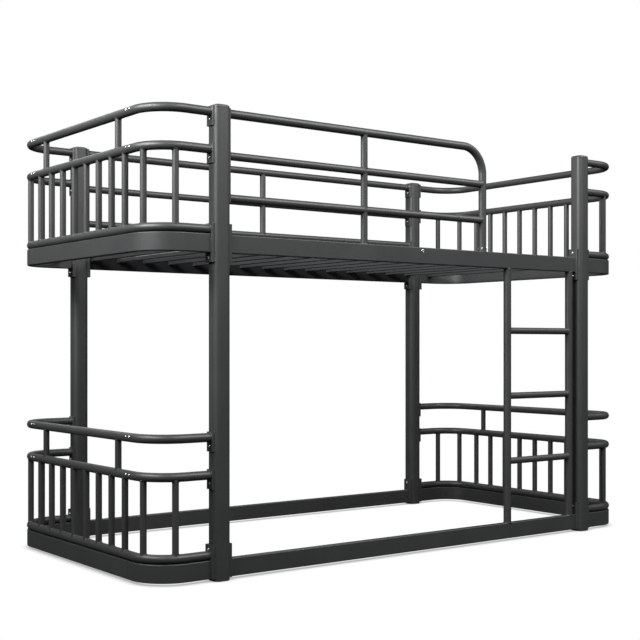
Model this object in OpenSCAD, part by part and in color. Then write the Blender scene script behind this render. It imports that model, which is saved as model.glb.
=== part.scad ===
// Bunk bed with ladder: four square posts, two rail decks, railed bow ends,
// a short front guard beside the ladder and a full rear guard. Welded steel tube.
// X runs along the bed, Y from front to rear, Z up, the floor at Z = 0.

/* [Overall] */
// Distance between the post centres along the bed
post_span = 1743; // [1450:1:2100]
// Distance between the post centres across the bed
post_gauge = 1038.6; // [860:0.1:1300]
// Height of the posts with their caps
post_h = 1540; // [1400:1:1860]

/* [Posts] */
// Outside width of the square posts
post_w = 60; // [50:0.5:72]
// Outside corner radius of the posts
post_corner_r = 20; // [12:0.5:24]
// Wall thickness of the posts
post_wall = 1.2; // [1:0.1:2.5]
// Height of the cap above the post tube
cap_h = 11; // [10:0.5:16]
// Radius of the rounded cap edge
cap_edge_r = 9; // [4:0.5:9.5]
// Thickness of the foot plug under the post tube
foot_h = 4; // [3:0.5:8]
// How far caps and foot plugs reach into the post tube
plug_depth = 24; // [12:1:28]

/* [Rails and bands] */
// Height of the lower rails above the floor
rail_z = 8; // [4:0.5:30]
// Height of the rail section
rail_h = 60; // [48:0.5:74]
// Thickness of the rail section
rail_t = 28; // [22:0.5:34]
// Outside corner radius of the rail section
rail_corner_r = 3; // [2:0.5:5]
// Wall thickness of rails and tubes
tube_wall = 1; // [0.8:0.1:2.5]
// How far the rail line lies inside the post centres
line_in = 3; // [0:0.5:6]

/* [End frames] */
// Distance from the post centre out to the end tube line
bow_reach = 241.3; // [200:0.1:300]
// Centre line radius of the end frame corners
bow_r = 118; // [95:1:145]
// Outside diameter of the end frame tubes
tube_d = 30; // [24:0.5:36]
// Height of the middle tube above the deck datum
middle_tube_h = 342; // [280:1:380]
// Height of the top tube above the deck datum
top_tube_h = 463.4; // [400:0.1:540]
// Distance from the post top down to the top tube centre
top_drop = 24.6; // [20:0.1:32]
// Diameter of the balusters
baluster_d = 22; // [16:0.5:26]
// Balusters in the straight middle section
baluster_count = 8; // [4:1:10]
// Distance from a tube joint to the nearest baluster centre
baluster_end = 43.3; // [34:0.1:55]
// Distance from the corner bend to the tube joint
joint_in = 25; // [20:1:34]
// Open line left at each tube joint
joint_gap = 0.6; // [0.4:0.1:1.5]
// Length of the sleeve inside each tube joint
sleeve_l = 60; // [40:1:66]

/* [Brackets and screws] */
// Plate thickness of the pressed brackets
plate_t = 3; // [2:0.5:4]
// Outside fold radius of the pressed brackets
fold_r = 4; // [3.5:0.5:6]
// Depth of the tube brackets
tube_plate_deep = 5; // [4.5:0.5:10]
// Width of the tube brackets
tube_plate_w = 40; // [36:0.5:46]
// Height of the tube brackets
tube_plate_h = 64; // [54:1:80]
// Reach of a tube bracket above its tube centre
tube_plate_up = 18; // [15:0.5:22]
// Depth of the rail brackets
rail_plate_deep = 9; // [7:0.5:14]
// Width of the rail brackets
rail_plate_w = 44; // [38:0.5:48]
// Reach of an upper rail bracket above the bottom tube
rail_plate_over = 4; // [2:0.5:12]
// Reach of an upper rail bracket below its rail
rail_plate_under = 31.5; // [26:0.5:45]
// Reach of a lower rail bracket above the bottom tube
low_plate_over = 20; // [15:0.5:34]
// Diameter of the bracket screw shanks
screw_d = 6; // [5:0.5:7]
// Diameter of the bracket screw heads
screw_head_d = 10; // [9:0.5:12]
// Height of the bracket screw heads
screw_head_h = 2.8; // [2:0.1:4]
// Distance from a tube centre down to its bracket screw
screw_drop = 27; // [23:0.5:36]
// Distance from a rail bracket's edge to its screw
rail_screw_in = 15; // [11:0.5:18]

/* [Guard rails] */
// Diameter of the middle and lower guard tubes
guard_tube_d = 27; // [22:0.5:32]
// Diameter of the guard struts
guard_strut_d = 25; // [20:0.5:26]
// Height of the middle guard tube above the deck datum
guard_middle_h = 325.7; // [280:0.1:380]
// Height of the lower guard tube above the deck datum
guard_lower_h = 188; // [160:1:225]
// Centre line radius of the front guard bend
guard_bend_r = 100; // [70:1:120]
// Distance from the right post centre to the guard leg
leg_from_post = 553.3; // [460:0.1:660]
// Thickness of the front guard's end bar
end_bar_t = 6; // [4:0.5:7]
// Depth of the front guard's end pads from the post
guard_pad_deep = 7.5; // [7.5:0.5:12]
// Width of the front guard's end bar
end_bar_w = 34; // [26:1:40]

/* [Ladder] */
// Distance from the rail bracket to the near stile
stile_clear = 9; // [5:0.5:20]
// Distance between the stile centres
ladder_w = 354.6; // [300:0.1:400]
// Diameter of the stiles
stile_d = 30; // [28:0.5:34]
// Diameter of the rungs
rung_d = 26; // [20:0.5:27]
// Height of the first rung above the floor
first_rung_h = 308; // [240:1:370]
// Distance between rungs
rung_pitch = 254.6; // [210:0.1:310]
// Smallest space left above the top rung
top_rung_gap = 150; // [100:1:200]

/* [Slats] */
// Width of each slat
slat_w = 22; // [16:0.5:34]
// Thickness of each slat
slat_h = 15; // [10:0.5:20]
// Distance from the rail top down to the slat top
slat_drop = 13; // [6:0.5:20]
// Target distance between slats
slat_step = 117; // [90:1:150]
// Distance from a rail bracket to the nearest slat holder
slat_clear = 1.7; // [1:0.1:14]
// Distance from the corner bend in to the end frame's slat
bow_slat_in = 29.3; // [20:0.1:34]
// Sheet thickness of the slats
slat_wall = 0.8; // [0.6:0.1:1.5]
// Sheet thickness of the slat holders
holder_t = 2; // [1.5:0.1:3]
// Length of each slat holder
holder_l = 18; // [12:1:30]

/* [Hidden] */
$fn = 64;

steel_colour = [0.17, 0.175, 0.18];
slat_colour = [0.12, 0.125, 0.13];
plastic_colour = [0.13, 0.13, 0.135];
screw_colour = [0.62, 0.63, 0.65];

fit = 0.3;
weld_gap = 0.2;
thread_gap = 0.1;
hole_gap = 0.4;
hug = 12;
insert_d = 9;
insert_l = 10;
bend_balusters = [20.5, 73];
joint_screw_in = 11;
joint_screw_tilt = 15;
joint_screw_d = 4;
joint_screw_head_d = 8;
joint_screw_head_h = 1.8;
bolt_d = 8;
bolt_head_d = 13;
bolt_head_h = 3;
bolt_l = 16;
leg_plug_l = 22;
pad_h = 32;
pad_w = 30;
slat_gap = 1;

post_x = post_span / 2;
post_y = post_gauge / 2;
line_y = post_y - line_in;
bow_x = post_x + bow_reach;
seam_y = line_y - bow_r - joint_in;
rail_top = rail_z + rail_h;
bottom_tube_h = rail_top + tube_d / 2 + weld_gap;
deck_rise = post_h - top_drop - top_tube_h;
tube_end_x = post_x + post_w / 2 + tube_plate_deep;
band_end_x = post_x + post_w / 2 + rail_plate_deep;
rail_end_x = post_x - post_w / 2 - rail_plate_deep;
guard_end_x = post_x - post_w / 2 - tube_plate_deep;
front_end_x = post_x - post_w / 2 - guard_pad_deep;
baluster_pitch = 2 * (seam_y - baluster_end) / (baluster_count - 1);
strut_y = seam_y - baluster_end - baluster_pitch / 2;
leg_x = post_x - leg_from_post;
front_strut_x = (leg_x - tube_d / 2 - front_end_x) / 2;
right_stile_x = rail_end_x - stile_clear - stile_d / 2;
left_stile_x = right_stile_x - ladder_w;
rung_count = floor((deck_rise + rail_z - top_rung_gap - first_rung_h) / rung_pitch) + 1;
slat_reach = rail_end_x - slat_clear - holder_t - fit - slat_w / 2;
slat_bays = round(2 * slat_reach / slat_step);
bow_slat_x = bow_x - bow_r - bow_slat_in;
slat_xs = concat([-bow_slat_x],
  [for (i = [0:slat_bays]) -slat_reach + 2 * i * slat_reach / slat_bays],
  [bow_slat_x]);
rail_face_y = line_y - rail_t / 2;
upper_plate_z0 = deck_rise + rail_z - rail_plate_under;
upper_plate_z1 = deck_rise + rail_top + tube_d + rail_plate_over;
lower_plate_z1 = rail_top + tube_d + low_plate_over;
guard_levels = [top_tube_h, guard_middle_h, guard_lower_h];

// Each screw: side in X, side in Y, facing direction, height, distance from post to head
tube_screws = [for (sx = [-1, 1], sy = [-1, 1], deck = [0, deck_rise],
  h = [top_tube_h, middle_tube_h]) [sx, sy, sx, deck + h - screw_drop, tube_plate_deep]];
rail_screws = [for (sx = [-1, 1], sy = [-1, 1], dir = [-1, 1],
  z = [lower_plate_z1 - rail_screw_in, upper_plate_z0 + rail_screw_in])
  [sx, sy, dir, z, rail_plate_deep]];
rail_top_screws = [for (sx = [-1, 1], sy = [-1, 1])
  [sx, sy, -sx, upper_plate_z1 - rail_screw_in, rail_plate_deep]];
rear_guard_screws = [for (sx = [-1, 1], h = guard_levels)
  [sx, 1, -sx, deck_rise + h - screw_drop, tube_plate_deep]];
front_guard_screws = [for (h = [guard_middle_h, guard_lower_h])
  [-1, -1, 1, deck_rise + h + screw_drop, end_bar_t]];
all_screws = concat(tube_screws, rail_screws, rail_top_screws, rear_guard_screws,
  front_guard_screws);

// Sections

module round_rect(a, b, r) {
  square([a - 2 * r, b], center = true);
  square([a, b - 2 * r], center = true);
  for (u = [-1, 1], v = [-1, 1])
    translate([u * (a / 2 - r), v * (b / 2 - r)]) circle(r = r);
}

module tube_face(d, wall) {
  difference() {
    circle(d = d);
    circle(d = d - 2 * wall);
  }
}

module box_face(a, b, r, wall) {
  difference() {
    round_rect(a, b, r);
    round_rect(a - 2 * wall, b - 2 * wall, max(r - wall, 0.5));
  }
}

module along_x(x0, x1, y, z) {
  translate([x0, y, z]) rotate([90, 0, 90]) linear_extrude(x1 - x0) children();
}

module along_y(y0, y1, x, z) {
  translate([x, y1, z]) rotate([90, 0, 0]) linear_extrude(y1 - y0) children();
}

module facing(sx) {
  mirror([sx < 0 ? 1 : 0, 0, 0]) children();
}

// End frames

module corner_section(end_x, z) {
  along_x(end_x, bow_x - bow_r, line_y, z) children();
  translate([bow_x - bow_r, line_y - bow_r, z])
    rotate_extrude(angle = 90) translate([bow_r, 0]) children();
  along_y(seam_y + joint_gap / 2, line_y - bow_r, bow_x, z) children();
}

module end_member(sx, end_x, z) {
  facing(sx) {
    for (m = [0, 1])
      mirror([0, m, 0]) corner_section(end_x, z) children();
    along_y(-seam_y + joint_gap / 2, seam_y - joint_gap / 2, bow_x, z) children();
  }
}

module at_joint_screws(sx, z) {
  facing(sx)
    for (sy = [-1, 1], e = [-1, 1])
      translate([bow_x, sy * seam_y + e * joint_screw_in, z])
        rotate([0, 90 - joint_screw_tilt, 0]) children();
}

module screwed_end_tube(sx, z) {
  color(steel_colour)
    difference() {
      end_member(sx, tube_end_x, z) tube_face(tube_d, tube_wall);
      at_joint_screws(sx, z) cylinder(d = joint_screw_d + 2 * thread_gap, h = tube_d);
    }
}

module bottom_end_tube(sx, z) {
  color(steel_colour)
    end_member(sx, band_end_x, z) tube_face(tube_d, tube_wall);
}

module end_band(sx, z) {
  color(steel_colour)
    end_member(sx, band_end_x, z) box_face(rail_t, rail_h, rail_corner_r, tube_wall);
}

module coping(z) {
  for (m = [0, 1])
    mirror([0, m, 0])
      translate([bow_x - bow_r, line_y - bow_r, z])
        rotate_extrude(angle = 90) translate([bow_r, 0]) circle(d = tube_d + 2 * weld_gap);
  along_y(-line_y + bow_r, line_y - bow_r, bow_x, z) circle(d = tube_d + 2 * weld_gap);
}

module end_balusters(sx, deck) {
  color(steel_colour)
    facing(sx) translate([0, 0, deck])
      difference() {
        union() {
          for (i = [0:baluster_count - 1])
            translate([bow_x, -seam_y + baluster_end + i * baluster_pitch, bottom_tube_h])
              linear_extrude(middle_tube_h - bottom_tube_h) tube_face(baluster_d, tube_wall);
          for (m = [0, 1], a = bend_balusters)
            mirror([0, m, 0])
              translate([bow_x - bow_r + bow_r * cos(a), line_y - bow_r + bow_r * sin(a),
                bottom_tube_h])
                linear_extrude(middle_tube_h - bottom_tube_h) tube_face(baluster_d, tube_wall);
          for (sy = [-1, 1])
            translate([bow_x, sy * strut_y, middle_tube_h])
              linear_extrude(top_tube_h - middle_tube_h) tube_face(baluster_d, tube_wall);
        }
        for (h = [bottom_tube_h, middle_tube_h, top_tube_h]) coping(h);
      }
}

// Brackets

module channel_face(deep, w, sy) {
  difference() {
    union() {
      translate([-hug, -w / 2]) square([hug + deep - fold_r, w]);
      translate([0, -w / 2 + fold_r]) square([deep, w - 2 * fold_r]);
      for (v = [-1, 1]) translate([deep - fold_r, v * (w / 2 - fold_r)]) circle(r = fold_r);
    }
    translate([-2 * hug, -w / 2 + plate_t])
      square([2 * hug + deep - plate_t, w - 2 * plate_t]);
    translate([-post_w / 2, sy * line_in]) round_rect(post_w, post_w, post_corner_r);
  }
}

module on_post(sx, sy, dir) {
  translate([sx * post_x + dir * post_w / 2, sy * line_y, 0]) facing(dir) children();
}

module bracket(sx, sy, dir, z0, z1, deep, w, screw_zs) {
  on_post(sx, sy, dir)
    difference() {
      translate([0, 0, z0]) linear_extrude(z1 - z0) channel_face(deep, w, sy);
      for (z = screw_zs)
        translate([0, 0, z]) rotate([0, 90, 0]) cylinder(d = screw_d + 2 * hole_gap, h = deep + 1);
    }
}

module tube_bracket(sx, sy, dir, z) {
  bracket(sx, sy, dir, z + tube_plate_up - tube_plate_h, z + tube_plate_up,
    tube_plate_deep, tube_plate_w, [z - screw_drop]);
}

module end_brackets(sx, deck) {
  color(steel_colour)
    for (sy = [-1, 1], h = [top_tube_h, middle_tube_h]) tube_bracket(sx, sy, sx, deck + h);
}

module upper_rail_brackets() {
  color(steel_colour)
    for (sx = [-1, 1], sy = [-1, 1]) {
      bracket(sx, sy, sx, upper_plate_z0, upper_plate_z1, rail_plate_deep, rail_plate_w,
        [upper_plate_z0 + rail_screw_in]);
      bracket(sx, sy, -sx, upper_plate_z0, upper_plate_z1, rail_plate_deep, rail_plate_w,
        [upper_plate_z0 + rail_screw_in, upper_plate_z1 - rail_screw_in]);
    }
}

module lower_rail_brackets() {
  color(steel_colour)
    for (sx = [-1, 1], sy = [-1, 1], dir = [-1, 1])
      bracket(sx, sy, dir, rail_z, lower_plate_z1, rail_plate_deep, rail_plate_w,
        [lower_plate_z1 - rail_screw_in]);
}

module rear_guard_brackets() {
  color(steel_colour)
    for (sx = [-1, 1], h = guard_levels) tube_bracket(sx, 1, -sx, deck_rise + h);
}

// Screws, inserts, sleeves and bolts

module at_screw(s) {
  translate([s[0] * post_x + s[2] * post_w / 2, s[1] * line_y, s[3]])
    rotate([0, 90 * s[2], 0]) children();
}

module socket_head(d, h, key) {
  difference() {
    union() {
      cylinder(d = d, h = h / 2);
      translate([0, 0, h / 2]) cylinder(d1 = d, d2 = d * 0.72, h = h / 2);
    }
    translate([0, 0, h * 0.3]) cylinder(d = key, h = h, $fn = 6);
  }
}

module bracket_screws() {
  color(screw_colour)
    for (s = all_screws)
      at_screw(s) {
        translate([0, 0, s[4]]) socket_head(screw_head_d, screw_head_h, screw_d * 0.8);
        translate([0, 0, -insert_l]) cylinder(d = screw_d, h = insert_l + s[4]);
      }
}

module threaded_inserts() {
  color(screw_colour) {
    for (s = all_screws)
      at_screw(s) translate([0, 0, -insert_l])
        linear_extrude(insert_l) tube_face(insert_d, (insert_d - screw_d) / 2 - thread_gap);
    translate([leg_x, -line_y, deck_rise + rail_top])
      linear_extrude(leg_plug_l)
        difference() {
          circle(d = tube_d - 2 * tube_wall - 2 * thread_gap);
          circle(d = bolt_d + 2 * thread_gap);
        }
  }
}

module joint_screws() {
  color(screw_colour)
    for (sx = [-1, 1], z = [middle_tube_h, top_tube_h, deck_rise + middle_tube_h,
      deck_rise + top_tube_h])
      at_joint_screws(sx, z) {
        translate([0, 0, tube_d / 2])
          socket_head(joint_screw_head_d, joint_screw_head_h, joint_screw_d * 0.8);
        translate([0, 0, tube_d / 2 - 3 * tube_wall])
          cylinder(d = joint_screw_d, h = 3 * tube_wall);
      }
}

module joint_sleeves() {
  inner_d = tube_d - 2 * tube_wall - 2 * fit;
  color(steel_colour)
    for (sx = [-1, 1], sy = [-1, 1], deck = [0, deck_rise]) {
      for (h = [middle_tube_h, top_tube_h])
        difference() {
          along_y(sy * seam_y - sleeve_l / 2, sy * seam_y + sleeve_l / 2, sx * bow_x, deck + h)
            tube_face(inner_d, tube_wall);
          at_joint_screws(sx, deck + h) cylinder(d = joint_screw_d + 2 * thread_gap, h = tube_d);
        }
      along_y(sy * seam_y - sleeve_l / 2, sy * seam_y + sleeve_l / 2, sx * bow_x,
        deck + bottom_tube_h) tube_face(inner_d, tube_wall);
      along_y(sy * seam_y - sleeve_l / 2, sy * seam_y + sleeve_l / 2, sx * bow_x,
        deck + rail_z + rail_h / 2)
        box_face(rail_t - 2 * tube_wall - 2 * fit, rail_h - 2 * tube_wall - 2 * fit,
          rail_corner_r, tube_wall);
    }
}

module at_face_bolt(sy) {
  translate([0, sy * (line_y + rail_t / 2), deck_rise + rail_top - slat_drop])
    rotate([-90 * sy, 0, 0]) children();
}

module at_leg_bolt() {
  translate([leg_x, -line_y, deck_rise + rail_z]) rotate([180, 0, 0]) children();
}

module rail_bolts() {
  color(screw_colour) {
    for (sy = [-1, 1])
      at_face_bolt(sy) {
        socket_head(bolt_head_d, bolt_head_h, bolt_d * 0.75);
        translate([0, 0, -bolt_l]) cylinder(d = bolt_d, h = bolt_l);
      }
    at_leg_bolt() {
      socket_head(bolt_head_d, bolt_head_h, bolt_d * 0.75);
      translate([0, 0, -rail_h - leg_plug_l]) cylinder(d = bolt_d, h = rail_h + leg_plug_l);
    }
  }
}

// Posts

module post(sx, sy) {
  color(steel_colour)
    difference() {
      translate([sx * post_x, sy * post_y, foot_h])
        linear_extrude(post_h - cap_h - foot_h)
          box_face(post_w, post_w, post_corner_r, post_wall);
      for (s = all_screws)
        if (s[0] == sx && s[1] == sy)
          at_screw(s) translate([0, 0, -insert_l])
            cylinder(d = insert_d + 2 * thread_gap, h = insert_l + 1);
    }
}

module plug_face() {
  inside = post_w - 2 * post_wall - 2 * fit;
  round_rect(inside, inside, post_corner_r - post_wall);
}

module cap_profile() {
  translate([-post_w / 2, 0]) square([post_w, cap_h - cap_edge_r]);
  translate([-post_w / 2 + cap_edge_r, 0]) square([post_w - 2 * cap_edge_r, cap_h]);
  for (u = [-1, 1]) translate([u * (post_w / 2 - cap_edge_r), cap_h - cap_edge_r])
    intersection() {
      circle(r = cap_edge_r);
      translate([-post_w, 0]) square([2 * post_w, post_w]);
    }
}

module cap_top() {
  intersection() {
    linear_extrude(cap_h) round_rect(post_w, post_w, post_corner_r);
    translate([0, post_w / 2, 0]) rotate([90, 0, 0]) linear_extrude(post_w) cap_profile();
    translate([-post_w / 2, 0, 0]) rotate([90, 0, 90]) linear_extrude(post_w) cap_profile();
  }
}

module post_caps() {
  color(plastic_colour)
    for (sx = [-1, 1], sy = [-1, 1])
      translate([sx * post_x, sy * post_y, post_h - cap_h]) {
        cap_top();
        translate([0, 0, -plug_depth]) linear_extrude(plug_depth) plug_face();
      }
}

module foot_plugs() {
  color(plastic_colour)
    for (sx = [-1, 1], sy = [-1, 1])
      translate([sx * post_x, sy * post_y, 0]) {
        linear_extrude(foot_h) round_rect(post_w, post_w, post_corner_r);
        translate([0, 0, foot_h]) linear_extrude(plug_depth) plug_face();
      }
}

// Rails

module side_rail(sy, deck) {
  color(steel_colour)
    difference() {
      along_x(-rail_end_x, rail_end_x, sy * line_y, deck + rail_z + rail_h / 2)
        box_face(rail_t, rail_h, rail_corner_r, tube_wall);
      if (deck > 0)
        at_face_bolt(sy) translate([0, 0, -rail_t / 2])
          cylinder(d = bolt_d + 2 * thread_gap, h = rail_t);
      if (deck > 0 && sy < 0)
        at_leg_bolt() translate([0, 0, -rail_h - 1])
          cylinder(d = bolt_d + 2 * thread_gap, h = rail_h + 2);
    }
}

// Guard rails

module front_guard_top_tube() {
  z = deck_rise + top_tube_h;
  color(steel_colour) {
    along_x(-front_end_x, leg_x - guard_bend_r, -line_y, z) tube_face(tube_d, tube_wall);
    translate([leg_x - guard_bend_r, -line_y, z - guard_bend_r])
      rotate([90, 0, 0]) rotate_extrude(angle = 90)
        translate([guard_bend_r, 0]) tube_face(tube_d, tube_wall);
    translate([leg_x, -line_y, deck_rise + rail_top])
      linear_extrude(z - guard_bend_r - deck_rise - rail_top) tube_face(tube_d, tube_wall);
  }
}

module front_guard_crossbar(z) {
  color(steel_colour)
    difference() {
      along_x(-front_end_x, leg_x, -line_y, z) tube_face(guard_tube_d, tube_wall);
      translate([leg_x, -line_y, z - tube_d])
        cylinder(d = tube_d + 2 * weld_gap, h = 2 * tube_d);
    }
}

module guard_strut(x, y) {
  color(steel_colour)
    difference() {
      translate([x, y, deck_rise + rail_top])
        linear_extrude(top_tube_h - rail_top) tube_face(guard_strut_d, tube_wall);
      translate([x - tube_d, y, deck_rise + top_tube_h])
        rotate([0, 90, 0]) cylinder(d = tube_d + 2 * weld_gap, h = 2 * tube_d);
      for (h = [guard_middle_h, guard_lower_h])
        translate([x - tube_d, y, deck_rise + h])
          rotate([0, 90, 0]) cylinder(d = guard_tube_d + 2 * weld_gap, h = 2 * tube_d);
    }
}

module front_guard_end_bar() {
  z0 = deck_rise + guard_lower_h;
  z1 = deck_rise + top_tube_h;
  color(steel_colour)
    on_post(-1, -1, 1)
      difference() {
        union() {
          translate([0, -end_bar_w / 2, z0 - pad_h / 2]) cube([end_bar_t, end_bar_w, z1 - z0 + pad_h]);
          for (h = guard_levels)
            translate([0, -pad_w / 2, deck_rise + h - pad_h / 2])
              cube([guard_pad_deep, pad_w, pad_h]);
        }
        for (s = front_guard_screws)
          translate([0, 0, s[3]]) rotate([0, 90, 0])
            translate([0, 0, -1]) cylinder(d = screw_d + 2 * hole_gap, h = guard_pad_deep + 2);
      }
}

module rear_guard_tube(h, d) {
  color(steel_colour)
    along_x(-guard_end_x, guard_end_x, line_y, deck_rise + h) tube_face(d, tube_wall);
}

// Ladder

module ladder_stile(x) {
  color(steel_colour)
    translate([x, -line_y, rail_top])
      linear_extrude(deck_rise + rail_z - rail_top) tube_face(stile_d, tube_wall);
}

module ladder_rungs() {
  color(steel_colour)
    difference() {
      for (i = [0:rung_count - 1])
        along_x(left_stile_x, right_stile_x, -line_y, first_rung_h + i * rung_pitch)
          tube_face(rung_d, tube_wall);
      for (x = [left_stile_x, right_stile_x])
        translate([x, -line_y, rail_top])
          cylinder(d = stile_d + 2 * weld_gap, h = deck_rise - rail_top);
    }
}

// Slats

module slats() {
  color(slat_colour)
    for (x = slat_xs)
      along_y(-rail_face_y + slat_gap, rail_face_y - slat_gap, x,
        deck_rise + rail_top - slat_drop - slat_h / 2)
        box_face(slat_w, slat_h, 2, slat_wall);
}

module slat_holders() {
  inner = slat_w / 2 + fit;
  low = slat_h / 2 + holder_t;
  color(slat_colour)
    for (x = slat_xs, m = [0, 1])
      mirror([0, m, 0])
        along_y(rail_face_y - holder_l, rail_face_y, x,
          deck_rise + rail_top - slat_drop - slat_h / 2)
          difference() {
            translate([-inner - holder_t, -low]) square([2 * inner + 2 * holder_t, low + slat_h / 2]);
            translate([-inner, -slat_h / 2]) square([2 * inner, 2 * slat_h]);
          }
}

post(-1, -1);  // front_left_post
post(1, -1);  // front_right_post
post(-1, 1);  // rear_left_post
post(1, 1);  // rear_right_post
post_caps();
foot_plugs();
side_rail(-1, deck_rise);  // upper_front_rail
side_rail(1, deck_rise);  // upper_rear_rail
side_rail(-1, 0);  // lower_front_rail
side_rail(1, 0);  // lower_rear_rail
screwed_end_tube(-1, deck_rise + top_tube_h);  // upper_left_top_tube
screwed_end_tube(-1, deck_rise + middle_tube_h);  // upper_left_middle_tube
bottom_end_tube(-1, deck_rise + bottom_tube_h);  // upper_left_bottom_tube
end_band(-1, deck_rise + rail_z + rail_h / 2);  // upper_left_band
end_balusters(-1, deck_rise);  // upper_left_balusters
end_brackets(-1, deck_rise);  // upper_left_brackets
screwed_end_tube(1, deck_rise + top_tube_h);  // upper_right_top_tube
screwed_end_tube(1, deck_rise + middle_tube_h);  // upper_right_middle_tube
bottom_end_tube(1, deck_rise + bottom_tube_h);  // upper_right_bottom_tube
end_band(1, deck_rise + rail_z + rail_h / 2);  // upper_right_band
end_balusters(1, deck_rise);  // upper_right_balusters
end_brackets(1, deck_rise);  // upper_right_brackets
screwed_end_tube(-1, top_tube_h);  // lower_left_top_tube
screwed_end_tube(-1, middle_tube_h);  // lower_left_middle_tube
bottom_end_tube(-1, bottom_tube_h);  // lower_left_bottom_tube
end_band(-1, rail_z + rail_h / 2);  // lower_left_band
end_balusters(-1, 0);  // lower_left_balusters
end_brackets(-1, 0);  // lower_left_brackets
screwed_end_tube(1, top_tube_h);  // lower_right_top_tube
screwed_end_tube(1, middle_tube_h);  // lower_right_middle_tube
bottom_end_tube(1, bottom_tube_h);  // lower_right_bottom_tube
end_band(1, rail_z + rail_h / 2);  // lower_right_band
end_balusters(1, 0);  // lower_right_balusters
end_brackets(1, 0);  // lower_right_brackets
upper_rail_brackets();
lower_rail_brackets();
front_guard_top_tube();
front_guard_crossbar(deck_rise + guard_middle_h);  // front_guard_middle_tube
front_guard_crossbar(deck_rise + guard_lower_h);  // front_guard_lower_tube
guard_strut(front_strut_x, -line_y);  // front_guard_strut
front_guard_end_bar();
rear_guard_tube(top_tube_h, tube_d);  // rear_guard_top_tube
rear_guard_tube(guard_middle_h, guard_tube_d);  // rear_guard_middle_tube
rear_guard_tube(guard_lower_h, guard_tube_d);  // rear_guard_lower_tube
guard_strut(0, line_y);  // rear_guard_strut
rear_guard_brackets();
ladder_stile(left_stile_x);  // ladder_left_stile
ladder_stile(right_stile_x);  // ladder_right_stile
ladder_rungs();
slats();
slat_holders();
bracket_screws();
threaded_inserts();
joint_screws();
joint_sleeves();
rail_bolts();
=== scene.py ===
"""Bunk bed with ladder: visual model and studio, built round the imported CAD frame. Metres."""

import math

import bmesh
import bpy
from mathutils import Matrix, Vector


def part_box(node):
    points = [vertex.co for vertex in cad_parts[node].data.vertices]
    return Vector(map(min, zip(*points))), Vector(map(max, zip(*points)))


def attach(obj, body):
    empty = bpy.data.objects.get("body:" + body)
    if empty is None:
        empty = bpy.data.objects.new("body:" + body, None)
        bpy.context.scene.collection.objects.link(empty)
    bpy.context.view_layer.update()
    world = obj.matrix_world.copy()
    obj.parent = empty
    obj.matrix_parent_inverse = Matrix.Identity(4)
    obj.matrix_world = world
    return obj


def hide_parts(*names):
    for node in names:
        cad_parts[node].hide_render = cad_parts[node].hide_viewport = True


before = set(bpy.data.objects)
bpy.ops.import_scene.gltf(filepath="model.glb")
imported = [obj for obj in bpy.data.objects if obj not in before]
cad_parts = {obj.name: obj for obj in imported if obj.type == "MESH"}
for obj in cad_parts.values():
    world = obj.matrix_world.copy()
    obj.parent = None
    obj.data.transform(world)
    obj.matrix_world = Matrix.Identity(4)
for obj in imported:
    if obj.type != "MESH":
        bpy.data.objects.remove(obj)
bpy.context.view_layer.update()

# Sizes that no single box gives, in metres
BEND_R = 0.118         # bends of the end frames, to the centre line
GUARD_BEND_R = 0.100   # bend of the front guard's top tube
JOINT_IN = 0.025       # from the end of a bend to the tube joint
JOINT_GAP = 0.0006     # the line that shows at a tube joint
POST_CORNER_R = 0.020
RAIL_CORNER_R = 0.003
BALUSTER_D = 0.022
PLATE_T = 0.003        # pressed brackets
FOLD_R = 0.004         # outside of a bracket's folds
PLUG_PLAY = 0.0015     # from a post's outside to its cap's or foot's plug
EASE = 0.0005          # eased edge of a cut end
BEAD_R = 0.0017        # weld beads
SINK = 0.0003          # how far a coped end runs into its tube

# Screws: shares of the head's diameter, and sizes in metres
HEAD_TALL = 0.28
HEAD_KEY = 0.46
BRACKET_SHANK_D = 0.006
JOINT_SCREW = {"d": 0.008, "h": 0.0022, "key": 0.0038, "shank_d": 0.004, "length": 0.004}
JOINT_TILT = math.radians(15)   # how far a joint screw leans up from level
BOLT_HEAD_D, BOLT_HEAD_H, BOLT_SHANK_D = 0.013, 0.003, 0.008

# Mesh detail
ROUND = 48             # points round a tube
UPRIGHT_ROUND = 40     # points round a baluster, a strut or a guard's weld bead
POST_STEPS = 10        # points in a post's rounded corner
BEND_STEPS = 30        # stations in a quarter bend
SHARP_ANGLE = math.radians(38)
BEVEL_ANGLE = math.radians(50)
POINT_GRID = 2e5       # steps in a metre when CAD points are matched: 5 micrometres

X, Y, Z = Vector((1, 0, 0)), Vector((0, 1, 0)), Vector((0, 0, 1))

pieces = []


# ---- Outlines ----

def circle(radius, steps=ROUND):
    turn = 2 * math.pi / steps
    return [(radius * math.cos(i * turn), radius * math.sin(i * turn)) for i in range(steps)]


def arc(cx, cy, radius, start, end, steps):
    """Points on an arc, from start to end in degrees."""
    angles = [math.radians(start + (end - start) * i / steps) for i in range(steps + 1)]
    return [(cx + radius * math.cos(a), cy + radius * math.sin(a)) for a in angles]


def round_rect(w, h, r, steps=8):
    """A rectangle with rounded corners, from the corner of positive u and v round."""
    a, b = w / 2 - r, h / 2 - r
    corners = ((a, b, 0), (-a, b, 90), (-a, -b, 180), (a, -b, 270))
    return [p for cx, cy, turn in corners for p in arc(cx, cy, r, turn, turn + 90, steps)]


def shrink(outline, by):
    """The outline with every point drawn in by that much along u and v."""
    def inward(value):
        return value - math.copysign(min(by, abs(value)), value)
    return [(inward(u), inward(v)) for u, v in outline]


# ---- Meshes ----

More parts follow.
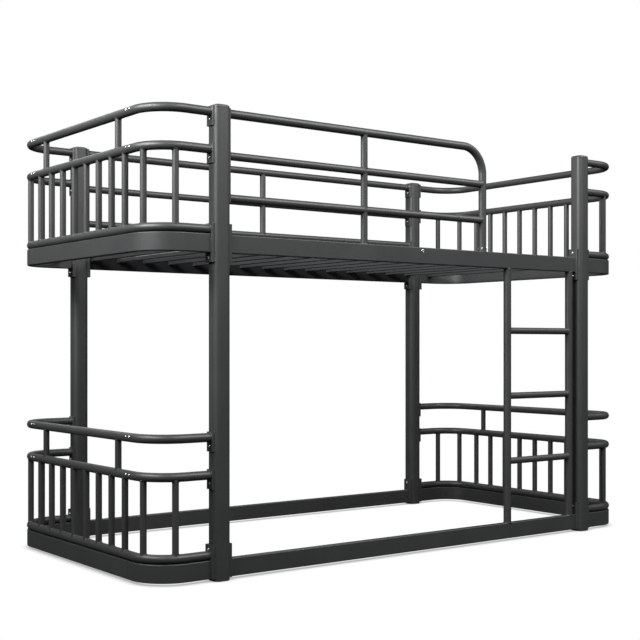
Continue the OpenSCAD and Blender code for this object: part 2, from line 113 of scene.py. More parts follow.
class Build:
    """Collects the shells of one piece, and makes its object."""

    def __init__(self, name, material, slot, *nodes, bevel=0.0):
        self.name, self.material, self.slot, self.nodes = name, material, slot, nodes
        self.bevel = bevel
        self.bm = bmesh.new()

    def loft(self, rings, loop=False):
        """Skins rings of equal length; the ends are closed unless the rings make a loop."""
        rows = [[self.bm.verts.new(p) for p in r] for r in rings]
        count = len(rows[0])
        followers = rows[1:] + ([rows[0]] if loop else [])
        for a, b in zip(rows, followers):
            for i in range(count):
                j = (i + 1) % count
                self.bm.faces.new((a[i], a[j], b[j], b[i]))
        if not loop:
            self.bm.faces.new(rows[0][::-1])
            self.bm.faces.new(rows[-1])

    def sweep(self, path, outline, up, ease=EASE):
        """Sweeps an outline along (point, direction) pairs, with its ends eased."""
        (first, out), (last, on) = path[0], path[-1]
        stations = [(first, out, ease), (first + out * ease, out, 0.0)]
        stations += [(p, t, 0.0) for p, t in path[1:-1]]
        stations += [(last - on * ease, on, 0.0), (last, on, ease)]
        rings = []
        for point, along, inset in stations:
            side = along.cross(up).normalized()
            section = shrink(outline, inset) if inset else outline
            rings.append([point + side * u + up * v for u, v in section])
        self.loft(rings)

    def bar(self, start, end, outline, up, ease=EASE):
        along = (end - start).normalized()
        self.sweep([(start, along), (end, along)], outline, up, ease)

    def turned(self, profile, place, steps=36):
        """Turns (radius, height, is it a hexagon) rows about the local Z of a placing matrix."""
        rings = []
        for radius, height, hexagon in profile:
            row = []
            for i in range(steps):
                a = 2 * math.pi * i / steps
                r = radius
                if hexagon:
                    sixth = math.pi / 3
                    r = radius / math.cos((a + sixth / 2) % sixth - sixth / 2)
                row.append(place @ Vector((r * math.cos(a), r * math.sin(a), height)))
            rings.append(row)
        self.loft(rings)

    def bead(self, curve, radius=BEAD_R, ripple=0.16):
        """A weld bead along a closed curve: its size rises and falls a little."""
        count = len(curve)
        centre = sum(curve, Vector()) / count
        rings = []
        for i, point in enumerate(curve):
            along = (curve[(i + 1) % count] - curve[i - 1]).normalized()
            out = point - centre
            out = (out - along * out.dot(along)).normalized()
            over = along.cross(out)
            size = radius * (1 + ripple * math.sin(i * 2.1) + 0.5 * ripple * math.sin(i * 0.9))
            rings.append([point + out * u + over * v for u, v in circle(size, 8)])
        self.loft(rings, loop=True)

    def finish(self):
        """Makes the object, rides it on the one body and hides the CAD nodes it replaces."""
        bmesh.ops.recalc_face_normals(self.bm, faces=self.bm.faces)
        mesh = bpy.data.meshes.new(self.name)
        self.bm.to_mesh(mesh)
        self.bm.free()
        mesh.shade_smooth()
        mesh.set_sharp_from_angle(angle=SHARP_ANGLE)
        obj = bpy.data.objects.new(self.name, mesh)
        bpy.context.scene.collection.objects.link(obj)
        obj.data.materials.append(self.material)
        if self.bevel:
            edge = obj.modifiers.new("edges", "BEVEL")
            edge.width, edge.segments = self.bevel, 3
            edge.limit_method, edge.angle_limit = "ANGLE", BEVEL_ANGLE
        weighted = obj.modifiers.new("normals", "WEIGHTED_NORMAL")
        weighted.keep_sharp = True
        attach(obj, "root")
        if self.nodes:
            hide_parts(*self.nodes)
        pieces.append(obj)
        return obj


def islands(node):
    """The (lowest, highest) corners of each separate solid in a CAD node."""
    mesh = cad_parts[node].data
    key = [tuple(round(c * POINT_GRID) for c in v.co) for v in mesh.vertices]
    parent = {k: k for k in key}

    def top(k):
        while parent[k] != k:
            parent[k] = parent[parent[k]]
            k = parent[k]
        return k

    for face in mesh.polygons:
        first = top(key[face.vertices[0]])
        for i in face.vertices[1:]:
            parent[top(key[i])] = first
    groups = {}
    for i, k in enumerate(key):
        groups.setdefault(top(k), []).append(mesh.vertices[i].co)
    boxes = []
    for points in groups.values():
        low = Vector([min(p[i] for p in points) for i in range(3)])
        high = Vector([max(p[i] for p in points) for i in range(3)])
        boxes.append((low, high))
    return sorted(boxes, key=lambda b: tuple(round(c, 4) for c in b[0]))


def middle(box):
    """The centre of a box given by its lowest and highest corners."""
    return (box[0] + box[1]) / 2


# ---- Materials ----

def shader(name, metallic=0.0, specular=0.5):
    """A new material, its node tree, its surface node and its object coordinates."""
    material = bpy.data.materials.new(name)
    material.use_nodes = True
    tree = material.node_tree
    surface = tree.nodes["Principled BSDF"]
    surface.inputs["Metallic"].default_value = metallic
    surface.inputs["Specular IOR Level"].default_value = specular
    place = tree.nodes.new("ShaderNodeTexCoord")
    return material, tree, surface, place.outputs["Object"]


def noise(tree, where, scale, detail=2.0):
    node = tree.nodes.new("ShaderNodeTexNoise")
    node.inputs["Scale"].default_value = scale
    node.inputs["Detail"].default_value = detail
    tree.links.new(where, node.inputs["Vector"])
    return node.outputs["Fac"]


def spread(tree, value, low, high):
    """A noise value spread over low to high: two numbers or two colours."""
    least, most = 0.3, 0.7
    if isinstance(low, tuple):
        node = tree.nodes.new("ShaderNodeValToRGB")
        first, last = node.color_ramp.elements
        first.position, last.position = least, most
        first.color, last.color = (*low, 1), (*high, 1)
        tree.links.new(value, node.inputs["Fac"])
        return node.outputs["Color"]
    node = tree.nodes.new("ShaderNodeMapRange")
    node.inputs["From Min"].default_value, node.inputs["From Max"].default_value = least, most
    node.inputs["To Min"].default_value, node.inputs["To Max"].default_value = low, high
    tree.links.new(value, node.inputs["Value"])
    return node.outputs["Result"]


def bump(tree, surface, height, strength, distance):
    node = tree.nodes.new("ShaderNodeBump")
    node.inputs["Strength"].default_value = strength
    node.inputs["Distance"].default_value = distance
    tree.links.new(height, node.inputs["Height"])
    tree.links.new(node.outputs["Normal"], surface.inputs["Normal"])


def powder_coat(name, dark, light, rough):
    """Satin powder coat: a fine orange peel, with colour and gloss that drift a little."""
    material, tree, surface, where = shader(name, specular=0.38)
    drift = spread(tree, noise(tree, where, scale=7, detail=3), dark, light)
    gloss = spread(tree, noise(tree, where, scale=160), rough - 0.03, rough + 0.04)
    tree.links.new(drift, surface.inputs["Base Color"])
    tree.links.new(gloss, surface.inputs["Roughness"])
    peel = noise(tree, where, scale=900, detail=1)
    bump(tree, surface, peel, strength=0.10, distance=0.0003)
    return material


def zinc(name):
    """Zinc-plated steel, a little cloudy."""
    material, tree, surface, where = shader(name, metallic=1.0)
    cloud = noise(tree, where, scale=260, detail=3)
    colour = spread(tree, cloud, (0.50, 0.51, 0.53), (0.68, 0.69, 0.71))
    gloss = spread(tree, noise(tree, where, scale=900), 0.26, 0.40)
    tree.links.new(colour, surface.inputs["Base Color"])
    tree.links.new(gloss, surface.inputs["Roughness"])
    grain = noise(tree, where, scale=1500, detail=1)
    bump(tree, surface, grain, strength=0.10, distance=0.0001)
    return material


def moulded(name):
    """Black moulded plastic with a fine mould texture."""
    material, tree, surface, where = shader(name, specular=0.4)
    drift = noise(tree, where, scale=40)
    colour = spread(tree, drift, (0.020, 0.021, 0.022), (0.027, 0.028, 0.029))
    gloss = spread(tree, noise(tree, where, scale=400), 0.42, 0.52)
    tree.links.new(colour, surface.inputs["Base Color"])
    tree.links.new(gloss, surface.inputs["Roughness"])
    texture = noise(tree, where, scale=1300, detail=1)
    bump(tree, surface, texture, strength=0.15, distance=0.0002)
    return material


STEEL = powder_coat("charcoal_powder_coat", dark=(0.0235, 0.0245, 0.0245),
                    light=(0.0285, 0.0297, 0.0297), rough=0.45)
SLAT = powder_coat("slat_powder_coat", dark=(0.020, 0.021, 0.022),
                   light=(0.025, 0.026, 0.027), rough=0.45)
WELD = powder_coat("coated_weld", dark=(0.022, 0.023, 0.023),
                   light=(0.030, 0.031, 0.031), rough=0.40)
ZINC = zinc("zinc_screw")
PLASTIC = moulded("black_cap_plastic")


# ---- Layout, read from the frame ----

POSTS = {"front_left": (-1, -1), "front_right": (1, -1),
         "rear_left": (-1, 1), "rear_right": (1, 1)}
ENDS = {"upper_left": -1, "upper_right": 1, "lower_left": -1, "lower_right": 1}

post_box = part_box("front_right_post")
post_x, post_y = middle(post_box).x, -middle(post_box).y
post_w = post_box[1].x - post_box[0].x
tube_low, tube_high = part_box("upper_right_top_tube")
tube_d = tube_high.z - tube_low.z
line_y = tube_high.y - tube_d / 2
bow_x = tube_high.x - tube_d / 2
seam_y = line_y - BEND_R - JOINT_IN   # the tube joints
rail_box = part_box("upper_front_rail")
rail_t, rail_h = rail_box[1].y - rail_box[0].y, rail_box[1].z - rail_box[0].z


def member_height(node):
    """Height of the centre line of a level node."""
    return middle(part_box(node)).z


# ---- End frames ----

def end_path(sx, sy, end_x, z):
    """Centre line from the bracket plate, round the bend, to the tube joint."""
    centre = Vector((bow_x - BEND_R, line_y - BEND_R, 0))
    path = [(Vector((end_x, line_y, 0)), X), (Vector((bow_x - BEND_R, line_y, 0)), X)]
    for i in range(1, BEND_STEPS + 1):
        a = math.radians(90 - 90 / BEND_STEPS * i)
        path.append((centre + Vector((math.cos(a), math.sin(a), 0)) * BEND_R,
                     Vector((math.sin(a), -math.cos(a), 0))))
    path.append((Vector((bow_x, seam_y + JOINT_GAP / 2, 0)), -Y))
    return [(Vector((p.x * sx, p.y * sy, z)), Vector((t.x * sx, t.y * sy, 0))) for p, t in path]


def end_tube(node, sx, outline, welds):
    """One level of an end frame: two bent ends and the straight length between them."""
    low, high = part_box(node)
    z = (low.z + high.z) / 2
    end_x = min(abs(low.x), abs(high.x))
    part = Build(node + "_skin", STEEL, "frame", node)
    for sy in (-1, 1):
        part.sweep(end_path(sx, sy, end_x, z), outline, Z)
        welds.bead([Vector((sx * end_x, sy * line_y + u, z + v)) for u, v in outline])
    half = seam_y - JOINT_GAP / 2
    part.bar(Vector((sx * bow_x, -half, z)), Vector((sx * bow_x, half, z)), outline, Z)
    part.finish()


def reach(x, y, radius):
    """How far above an end tube's centre its surface is at a point, in plan."""
    if abs(y) <= line_y - BEND_R:
        off = abs(x) - bow_x
    else:
        off = math.hypot(abs(x) - bow_x + BEND_R, abs(y) - line_y + BEND_R) - BEND_R
    return math.sqrt(max(radius * radius - off * off, 0.0))


def upright(part, welds, x, y, z0, z1, d, surface):
    """A tube coped to the tubes at its two ends, whose surface heights surface() gives."""
    foot, head = [], []
    for u, v in circle(d / 2, UPRIGHT_ROUND):
        foot.append(Vector((x + u, y + v, z0 + surface(x + u, y + v, z0))))
        head.append(Vector((x + u, y + v, z1 - surface(x + u, y + v, z1))))
    part.loft([[p - Z * SINK for p in foot], [p + Z * SINK for p in head]])
    for curve, level in ((foot, z0), (head, z1)):
        if surface(x, y, level) > 0:
            welds.bead(curve)


def end_frame(name, sx):
    """The tubes, band and balusters of one end frame, with its welds."""
    welds = Build(name + "_welds", WELD, "frame")
    levels = {}
    for kind in ("top_tube", "middle_tube", "bottom_tube"):
        node = f"{name}_{kind}"
        levels[kind] = member_height(node)
        end_tube(node, sx, circle(tube_d / 2), welds)
    end_tube(name + "_band", sx, round_rect(rail_t, rail_h, RAIL_CORNER_R), welds)
    bars = Build(name + "_balusters_skin", STEEL, "frame", name + "_balusters")
    for box in islands(name + "_balusters"):
        at = middle(box)
        lower = box[1].z < levels["middle_tube"] + tube_d / 2
        z0, z1 = ("bottom_tube", "middle_tube") if lower else ("middle_tube", "top_tube")
        upright(bars, welds, at.x, at.y, levels[z0], levels[z1], BALUSTER_D,
                lambda x, y, _: reach(x, y, tube_d / 2))
    bars.finish()
    welds.finish()


# ---- Brackets ----

def channel(deep, w, lean):
    """Plan outline of a pressed channel whose flanges end on the post's rounded corners."""
    def back(v):
        off = max(abs(v - lean) - post_w / 2 + POST_CORNER_R, 0.0)
        return math.sqrt(max(POST_CORNER_R ** 2 - off ** 2, 0.0)) - POST_CORNER_R
    least_r = 0.0006
    inner_r = FOLD_R - PLATE_T + least_r
    w0, d0 = w / 2, deep
    w1, d1 = w / 2 - PLATE_T, deep - PLATE_T
    outer = arc(d0 - FOLD_R, w0 - FOLD_R, FOLD_R, 90, 0, 8)
    outer += arc(d0 - FOLD_R, -w0 + FOLD_R, FOLD_R, 0, -90, 8)
    inner = arc(d1 - inner_r, -w1 + inner_r, inner_r, -90, 0, 5)
    inner += arc(d1 - inner_r, w1 - inner_r, inner_r, 0, 90, 5)
    ends = [w1 + PLATE_T * i / 4 for i in range(5)]
    return ([(back(v), v) for v in ends] + outer
            + [(back(-v), -v) for v in reversed(ends)] + inner)


def brackets(node):
    """Pressed channels against the posts' faces."""
    part = Build(node + "_skin", STEEL, "frame", node, bevel=0.0005)
    for low, high in islands(node):
        at = middle((low, high))
        facing = 1 if at.x > math.copysign(post_x, at.x) else -1
        face_x = math.copysign(post_x, at.x) + facing * post_w / 2
        deep = abs((high.x if facing > 0 else low.x) - face_x)
        outline = channel(deep, high.y - low.y, math.copysign(post_y - line_y, at.y))
        part.loft([[Vector((face_x + facing * u, at.y + v, z)) for u, v in outline]
                   for z in (low.z, high.z)])
    part.finish()


# ---- Screws ----

# Shares of the radius and of the height, from a button head's seat up over its dome
DOME = ((0.985, 0), (1, 0.08), (1, 0.34), (0.975, 0.52), (0.91, 0.72), (0.80, 0.88), (0.66, 0.975))


def button_head(d, h, key):
    """Profile of a domed head with a hexagon socket that is key across its flats."""
    r = d / 2
    dome = [(r * out, h * up, False) for out, up in DOME]
    return dome + [(key / 2 + r * 0.09, h, False), (key / 2, h * 0.94, True),
                   (key / 2, h * 0.35, True), (key / 2 * 0.5, h * 0.28, True)]


def screw(part, place, d, h, key, shank_d, length):
    """A head and a plain shank. The place is the head's seat, with Z out of it."""
    part.turned(button_head(d, h, key), place)
    tip_in, tip_h, under_head = 0.0004, 0.0006, 0.00002
    shank = [(shank_d / 2 - tip_in, -length, False), (shank_d / 2, -length + tip_h, False),
             (shank_d / 2, -under_head, False)]
    part.turned(shank, place, 24)


def bracket_screws():
    """Screws through the brackets' plates into the posts."""
    part = Build("bracket_screws_skin", ZINC, "screws", "bracket_screws")
    for box in islands("bracket_screws"):
        at = middle(box)
        facing = 1 if at.x - math.copysign(post_x, at.x) > 0 else -1
        head_d = box[1].z - box[0].z
        head_h = head_d * HEAD_TALL
        tip = box[1].x if facing > 0 else box[0].x
        seat = Vector((tip - facing * head_h, at.y, at.z))
        place = Matrix.Translation(seat) @ Matrix.Rotation(facing * math.pi / 2, 4, "Y")
        turn = at.z * 37 + at.y * 11   # no two sockets stand quite alike
        place = place @ Matrix.Rotation(turn, 4, "Z")
        length = box[1].x - box[0].x - head_h
        screw(part, place, head_d, head_h, head_d * HEAD_KEY, BRACKET_SHANK_D, length)
    part.finish()


def joint_screws():
    """The small screws beside each tube joint, seated a little into the tube."""
    part = Build("joint_screws_skin", ZINC, "screws", "joint_screws")
    seat_in = 0.0004
    heights = [member_height(f"{name}_{kind}") for name in ("upper_right", "lower_right")
               for kind in ("top_tube", "middle_tube")]
    for box in islands("joint_screws"):
        at = middle(box)
        z = min(heights, key=lambda h: abs(h - at.z))
        sx = 1 if at.x > 0 else -1
        tilt = math.pi / 2 - JOINT_TILT
        place = Matrix.Translation(Vector((sx * bow_x, at.y, z)))
        place = place @ Matrix.Rotation(sx * tilt, 4, "Y")
        place = place @ Matrix.Translation(Vector((0, 0, tube_d / 2 - seat_in)))
        place = place @ Matrix.Rotation(at.y * 29 + z * 17, 4, "Z")
        screw(part, place, **JOINT_SCREW)
    part.finish()


def rail_bolts():
    """A bolt in the outside of each upper long rail, and one up into the front guard's leg."""
    part = Build("rail_bolts_skin", ZINC, "screws", "rail_bolts")
    for box in islands("rail_bolts"):
        at = middle(box)
        size = box[1] - box[0]
        if size.z > size.y:
            place = Matrix.Translation(Vector((at.x, at.y, box[0].z + BOLT_HEAD_H)))
            place = place @ Matrix.Rotation(math.pi, 4, "X")
            length = size.z - BOLT_HEAD_H
        else:
            facing = 1 if at.y > 0 else -1
            tip = box[1].y if facing > 0 else box[0].y
            place = Matrix.Translation(Vector((at.x, tip - facing * BOLT_HEAD_H, at.z)))
            place = place @ Matrix.Rotation(-facing * math.pi / 2, 4, "X")
            length = size.y - BOLT_HEAD_H
        screw(part, place, BOLT_HEAD_D, BOLT_HEAD_H, BOLT_HEAD_D * HEAD_KEY, BOLT_SHANK_D, length)
    part.finish()


# ---- Posts ----

def post_outline(inset=0.0, least_r=0.004):
    """A post's outline in plan, drawn in by that much all round."""
    w = post_w - 2 * inset
    return round_rect(w, w, max(POST_CORNER_R - inset, least_r), POST_STEPS)


def plug_outline():
    """The outline of a cap's or foot's plug, inside the post."""
    w = post_w - 2 * PLUG_PLAY
    return round_rect(w, w, POST_CORNER_R - PLUG_PLAY, 6)


def posts():
    """Square tubes with well rounded corners."""
    for name in POSTS:
        node = name + "_post"
        low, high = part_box(node)
        at = middle((low, high))
        part = Build(node + "_skin", STEEL, "frame", node)
        start, end = Vector((at.x, at.y, low.z)), Vector((at.x, at.y, high.z))
        part.bar(start, end, post_outline(), Y, ease=0.0004)
        part.finish()


def post_caps():
    """Low plugs with a softly rolled edge and a slight crown."""
    part = Build("post_caps_skin", PLASTIC, "plastic", "post_caps")
    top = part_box("post_caps")[1].z
    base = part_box("front_left_post")[1].z
    tall, gap = top - base, 0.0001
    edge, side_h, roll_w, roll_steps = 0.0006, 0.0014, 0.0092, 12
    rows = [(0.0, edge), (edge, 0.0)]   # (height, inset): the lower edge, then the rolled one
    for i in range(roll_steps + 1):
        a = math.radians(90 * i / roll_steps)
        rows.append((side_h + (tall - 2 * side_h) * math.sin(a), roll_w * (1 - math.cos(a))))
    rows += [(tall - 0.0009, 0.0115), (tall - 0.0004, 0.016), (tall, 0.024)]   # the crown
    for sx, sy in POSTS.values():
        part.loft([[Vector((sx * post_x + u, sy * post_y + v, base + height))
                    for u, v in post_outline(inset)] for height, inset in rows])
        part.bar(Vector((sx * post_x, sy * post_y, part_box("post_caps")[0].z)),
                 Vector((sx * post_x, sy * post_y, base - gap)), plug_outline(), Y)
    part.finish()


def foot_plugs():
    """Flat feet the size of the posts, on plugs inside them."""
    part = Build("foot_plugs_skin", PLASTIC, "plastic", "foot_plugs")
    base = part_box("front_left_post")[0].z
    gap = 0.0002
    for sx, sy in POSTS.values():
        at = Vector((sx * post_x, sy * post_y, 0))
        part.bar(at, at + Z * (base - gap), post_outline(), Y, ease=0.0008)
        part.bar(at + Z * base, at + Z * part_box("foot_plugs")[1].z, plug_outline(), Y)
    part.finish()


# ---- Straight members ----

def straight(node, axis, outline, up, welds):
    """A straight bar over the whole of a node's box, with weld beads round its ends."""
    low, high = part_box(node)
    at = middle((low, high))
    half = axis * (high - low).dot(axis) / 2
    part = Build(node + "_skin", STEEL, "frame", node)
    part.bar(at - half, at + half, outline, up)
    part.finish()
    side = axis.cross(up).normalized()
    for end in (at - half, at + half):
        welds.bead([end + side * u + up * v for u, v in outline])


def rails():
    """The four long rails, welded to their brackets."""
    welds = Build("rail_welds", WELD, "frame")
    outline = round_rect(rail_t, rail_h, RAIL_CORNER_R)
    for node in ("upper_front_rail", "upper_rear_rail", "lower_front_rail", "lower_rear_rail"):
        straight(node, X, outline, Z, welds)
    welds.finish()


GUARD_KINDS = ("top", "middle", "lower")


def level_surface(levels):
    """Surface height of level tubes along X, given as (height, y, radius)."""
    same_level = 0.001

    def surface(_, y, z):
        for level, line, radius in levels:
            if abs(level - z) < same_level:
                return math.sqrt(max(radius * radius - (y - line) ** 2, 0.0))
        return 0.0
    return surface


def guard(side, sy, welds):
    """The strut of one guard, coped between its three tubes and the rail.

    Gives the tubes' heights and radii, from the top down."""
    boxes = [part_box(f"{side}_guard_{kind}_tube") for kind in GUARD_KINDS]
    heights = [b[1].z - (tube_d if i == 0 else b[1].z - b[0].z) / 2 for i, b in enumerate(boxes)]
    radii = [tube_d / 2] + [(b[1].z - b[0].z) / 2 for b in boxes[1:]]
    surface = level_surface([(h, sy * line_y, r) for h, r in zip(heights, radii)])
    node = f"{side}_guard_strut"
    low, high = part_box(node)
    at = middle((low, high))
    part = Build(node + "_skin", STEEL, "frame", node)
    stops = [rail_box[1].z] + heights[::-1]
    for z0, z1 in zip(stops, stops[1:]):
        upright(part, welds, at.x, at.y, z0, z1, high.x - low.x, surface)
    welds.bead([Vector((at.x + u, at.y + v, rail_box[1].z))
                for u, v in circle((high.x - low.x) / 2, UPRIGHT_ROUND)])
    part.finish()
    return heights, radii


def front_guard():
    """The short guard: its top tube bends down to the rail beside the ladder."""
    welds = Build("front_guard_welds", WELD, "frame")
    heights, radii = guard("front", -1, welds)
    low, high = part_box("front_guard_top_tube")
    r = tube_d / 2
    leg_x = high.x - r
    path = [(Vector((low.x, -line_y, heights[0])), X)]
    centre = Vector((leg_x - GUARD_BEND_R, -line_y, heights[0] - GUARD_BEND_R))
    for i in range(BEND_STEPS + 1):
        a = math.radians(90 - 90 / BEND_STEPS * i)
        path.append((centre + Vector((math.cos(a), 0, math.sin(a))) * GUARD_BEND_R,
                     Vector((math.sin(a), 0, -math.cos(a)))))
    path.append((Vector((leg_x, -line_y, low.z)), -Z))
    part = Build("front_guard_top_tube_skin", STEEL, "frame", "front_guard_top_tube")
    part.sweep(path, circle(r), Y)
    part.finish()
    welds.bead([Vector((low.x, -line_y + u, heights[0] + v)) for u, v in circle(r, UPRIGHT_ROUND)])
    welds.bead([Vector((leg_x + u, -line_y + v, low.z)) for u, v in circle(r, UPRIGHT_ROUND)])
    for kind, z, radius in zip(GUARD_KINDS[1:], heights[1:], radii[1:]):
        node = f"front_guard_{kind}_tube"
        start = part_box(node)[0].x
        part = Build(node + "_skin", STEEL, "frame", node)
        near, far = [], []
        for u, v in circle(radius):
            near.append(Vector((start, -line_y + u, z + v)))
            stop = leg_x - math.sqrt(max(r * r - u * u, 0.0))
            far.append(Vector((stop, -line_y + u, z + v)))
        part.loft([near, [p + X * SINK for p in far]])
        part.finish()
        welds.bead(near[::2])
        welds.bead(far)
    welds.finish()
    end_bar()


def end_bar():
    """The flat upright at the front guard's post end, with a pad behind each tube."""
    node = "front_guard_end_bar"
    low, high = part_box(node)
    at = middle((low, high))
    part = Build(node + "_skin", STEEL, "frame", node, bevel=0.0006)
    thick, edge_r = 0.006, 0.0012
    outline = round_rect(thick, high.y - low.y, edge_r, 4)
    x = low.x + thick / 2
    part.bar(Vector((x, at.y, low.z)), Vector((x, at.y, high.z)), outline, Y, ease=0.0002)
    pad_w, pad_h, pad_r, pad_in = 0.030, 0.032, 0.002, 0.001
    pad = round_rect(pad_w, pad_h, pad_r, 5)
    for kind in GUARD_KINDS:
        z = middle(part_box(f"rear_guard_{kind}_tube")).z
        part.bar(Vector((low.x + thick - pad_in, at.y, z)), Vector((high.x, at.y, z)), pad, Z)
    part.finish()


def rear_guard():
    """The full-length guard: three level tubes between the rear posts, and its strut."""
    welds = Build("rear_guard_welds", WELD, "frame")
    _, radii = guard("rear", 1, welds)
    for kind, radius in zip(GUARD_KINDS, radii):
        straight(f"rear_guard_{kind}_tube", X, circle(radius), Z, welds)
    welds.finish()


# ---- Ladder ----

def ladder():
    """Two round stiles, and rungs coped to them."""
    welds = Build("ladder_welds", WELD, "frame")
    stiles = []
    for node in ("ladder_left_stile", "ladder_right_stile"):
        low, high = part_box(node)
        radius = (high.x - low.x) / 2
        stiles.append(middle((low, high)).x)
        straight(node, Z, circle(radius), Y, welds)
    part = Build("ladder_rungs_skin", STEEL, "frame", "ladder_rungs")
    for low, high in islands("ladder_rungs"):
        at = middle((low, high))
        near, far = [], []
        for u, v in circle((high.z - low.z) / 2):
            inset = math.sqrt(radius * radius - u * u)
            near.append(Vector((stiles[0] + inset, at.y + u, at.z + v)))
            far.append(Vector((stiles[1] - inset, at.y + u, at.z + v)))
        part.loft([[p - X * SINK for p in near], [p + X * SINK for p in far]])
        welds.bead(near)
        welds.bead(far)
    part.finish()
    welds.finish()


# ---- Slats ----

def slats():
    """The deck's box-section slats."""
    part = Build("slats_skin", SLAT, "slats", "slats")
    corner_r = 0.002
    for low, high in islands("slats"):
        at = middle((low, high))
        outline = round_rect(high.x - low.x, high.z - low.z, corner_r, 5)
        part.bar(Vector((at.x, low.y, at.z)), Vector((at.x, high.y, at.z)), outline, Z)
    part.finish()


def slat_holders():
    """Pressed U cups on the rails' inner faces, rounded outside and inside."""
    part = Build("slat_holders_skin", SLAT, "slats", "slat_holders", bevel=0.0004)
    t, r = 0.002, 0.0035
    for low, high in islands("slat_holders"):
        w, h = high.x - low.x, high.z - low.z
        a, b = w / 2, w / 2 - t
        outer = arc(-a + r, r, r, 180, 270, 6) + arc(a - r, r, r, 270, 360, 6)
        inner = (arc(b - r + t, t + r - t, r - t, 0, -90, 5)
                 + arc(-b + r - t, r, r - t, 270, 180, 5))
        outline = [(-a, h)] + outer + [(a, h), (b, h)] + inner + [(-b, h)]
        mid = (low.x + high.x) / 2
        part.loft([[Vector((mid + u, y, low.z + v)) for u, v in outline]
                   for y in (low.y, high.y)])
    part.finish()


# ---- Threaded inserts ----

def threaded_inserts():
    """Inserts in the posts, set back behind their faces, and the one in the guard's leg."""
    part = Build("threaded_inserts_skin", ZINC, "screws", "threaded_inserts")
    set_back, steps = 0.0016, 32
    for box in islands("threaded_inserts"):
        at = middle(box)
        size = box[1] - box[0]
        if size.z > size.x:
            tube = circle(size.x / 2, steps)
            part.bar(Vector((at.x, at.y, box[0].z)), Vector((at.x, at.y, box[1].z)), tube, Y)
            continue
        inward = -1 if at.x > math.copysign(post_x, at.x) else 1
        start = box[1].x if inward < 0 else box[0].x
        end = box[0].x if inward < 0 else box[1].x
        part.bar(Vector((start + inward * set_back, at.y, at.z)), Vector((end, at.y, at.z)),
                 circle(size.z / 2, steps), Z)
    part.finish()


# ---- The whole bed ----

for name, sx in ENDS.items():
    end_frame(name, sx)
    brackets(name + "_brackets")
for node in ("upper_rail_brackets", "lower_rail_brackets", "rear_guard_brackets"):
    brackets(node)
posts()
post_caps()
foot_plugs()
rails()
front_guard()
rear_guard()
ladder()
slats()
slat_holders()
bracket_screws()
joint_screws()
rail_bolts()
threaded_inserts()

# The sleeves are sealed inside the tubes, so they keep their CAD shape
sleeve_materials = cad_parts["joint_sleeves"].data.materials
sleeve_materials.clear()
sleeve_materials.append(STEEL)


# ---- Studio ----

def studio_floor():
    """Pale floor. The camera sees it near white, with painted contact shadow where the bed's parts
    come near it; what it throws back on the bed is dim.
    """
    mesh = bpy.data.meshes.new("studio_floor")
    half = 40.0
    corners = [(-half, -half, 0), (half, -half, 0), (half, half, 0), (-half, half, 0)]
    mesh.from_pydata(corners, [], [(0, 1, 2, 3)])
    floor = bpy.data.objects.new("studio_floor", mesh)
    bpy.context.scene.collection.objects.link(floor)
    material = bpy.data.materials.new("studio_floor")
    material.use_nodes = True
    tree = material.node_tree
    tree.nodes.clear()
    out = tree.nodes.new("ShaderNodeOutputMaterial")
    mix = tree.nodes.new("ShaderNodeMixShader")
    path = tree.nodes.new("ShaderNodeLightPath")
    dim = tree.nodes.new("ShaderNodeBsdfDiffuse")
    dim.inputs["Color"].default_value = (0.06, 0.06, 0.062, 1)
    glow = tree.nodes.new("ShaderNodeEmission")
    # Painted contact shadow: ambient occlusion dims the floor's glow, down to 0.30, close under
    # and beside the bed's parts
    painted_contact_shadow = tree.nodes.new("ShaderNodeAmbientOcclusion")
    painted_contact_shadow.inputs["Distance"].default_value = 0.035
    painted_shadow_strength = tree.nodes.new("ShaderNodeMapRange")
    painted_shadow_strength.inputs["From Min"].default_value, painted_shadow_strength.inputs["From Max"].default_value = 0.0, 0.9
    painted_shadow_strength.inputs["To Min"].default_value, painted_shadow_strength.inputs["To Max"].default_value = 0.30, 1.0
    link = tree.links.new
    link(painted_contact_shadow.outputs["AO"], painted_shadow_strength.inputs["Value"])
    link(painted_shadow_strength.outputs["Result"], glow.inputs["Strength"])
    link(path.outputs["Is Camera Ray"], mix.inputs["Fac"])
    link(dim.outputs["BSDF"], mix.inputs[1])
    link(glow.outputs["Emission"], mix.inputs[2])
    link(mix.outputs["Shader"], out.inputs["Surface"])
    mesh.materials.append(material)


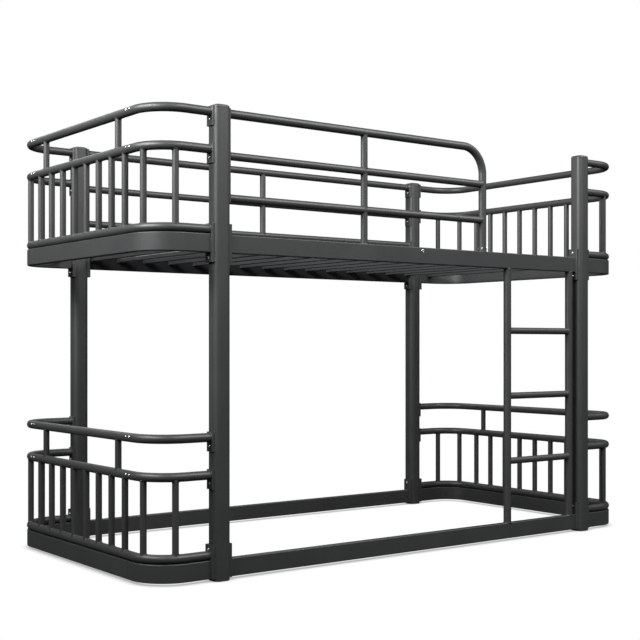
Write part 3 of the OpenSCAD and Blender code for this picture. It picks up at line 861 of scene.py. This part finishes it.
def studio_world():
    """White to the camera, a dim even fill to the bed."""
    world = bpy.data.worlds.new("studio")
    world.use_nodes = True
    bpy.context.scene.world = world
    tree = world.node_tree
    tree.nodes.clear()
    out = tree.nodes.new("ShaderNodeOutputWorld")
    mix = tree.nodes.new("ShaderNodeMixShader")
    path = tree.nodes.new("ShaderNodeLightPath")
    fill = tree.nodes.new("ShaderNodeBackground")
    fill.inputs["Color"].default_value = (0.95, 0.98, 1.0, 1)
    fill.inputs["Strength"].default_value = 0.035
    seen = tree.nodes.new("ShaderNodeBackground")
    seen.inputs["Color"].default_value = (1, 1, 1, 1)
    seen.inputs["Strength"].default_value = 1.0
    link = tree.links.new
    link(path.outputs["Is Camera Ray"], mix.inputs["Fac"])
    link(fill.outputs["Background"], mix.inputs[1])
    link(seen.outputs["Background"], mix.inputs[2])
    link(mix.outputs["Shader"], out.inputs["Surface"])


def softbox(name, place, target, width, height, power, beam):
    """A soft rectangular light aimed at a target, with its beam's spread in degrees."""
    light = bpy.data.lights.new(name, "AREA")
    light.shape, light.size, light.size_y, light.energy = "RECTANGLE", width, height, power
    light.spread = math.radians(beam)
    obj = bpy.data.objects.new(name, light)
    obj.location = place
    obj.rotation_euler = (Vector(target) - Vector(place)).to_track_quat("-Z", "Y").to_euler()
    bpy.context.scene.collection.objects.link(obj)
    return obj


def flag(light, names):
    """Keeps a light off some pieces, as a card held over the deck would."""
    group = bpy.data.collections.new(light.name + "_flag")
    for piece in pieces:
        if piece.name in names:
            group.objects.link(piece)
    for entry in group.collection_objects:
        entry.light_linking.link_state = "EXCLUDE"
    light.light_linking.receiver_collection = group


def camera():
    """The photograph's viewing angle: level, from the front left."""
    data = bpy.data.cameras.new("camera")
    data.lens, data.sensor_width = 67.08, 36.0
    data.shift_x, data.shift_y = 0.0027, 0.0387
    obj = bpy.data.objects.new("camera", data)
    obj.location = (-2.928, -3.8075, 0.7623)
    obj.rotation_euler = (math.radians(90), 0, math.radians(-36.77))
    bpy.context.scene.collection.objects.link(obj)
    bpy.context.scene.camera = obj


studio_floor()
studio_world()
key = softbox("key_softbox", (1.1, -2.9, 3.6), (0.5, -0.1, 1.1),
              width=5.2, height=1.5, power=245, beam=150)
softbox("left_softbox", (-3.2, -0.3, 2.8), (-1.0, -0.2, 1.8),
        width=3.0, height=1.2, power=112, beam=90)
softbox("rear_softbox", (0.6, 3.6, 3.2), (0, 0.3, 1.0),
        width=4.0, height=1.4, power=30, beam=130)
flag(key, ("upper_rear_rail_skin",))
camera()
bpy.context.scene.view_settings.view_transform = "Standard"
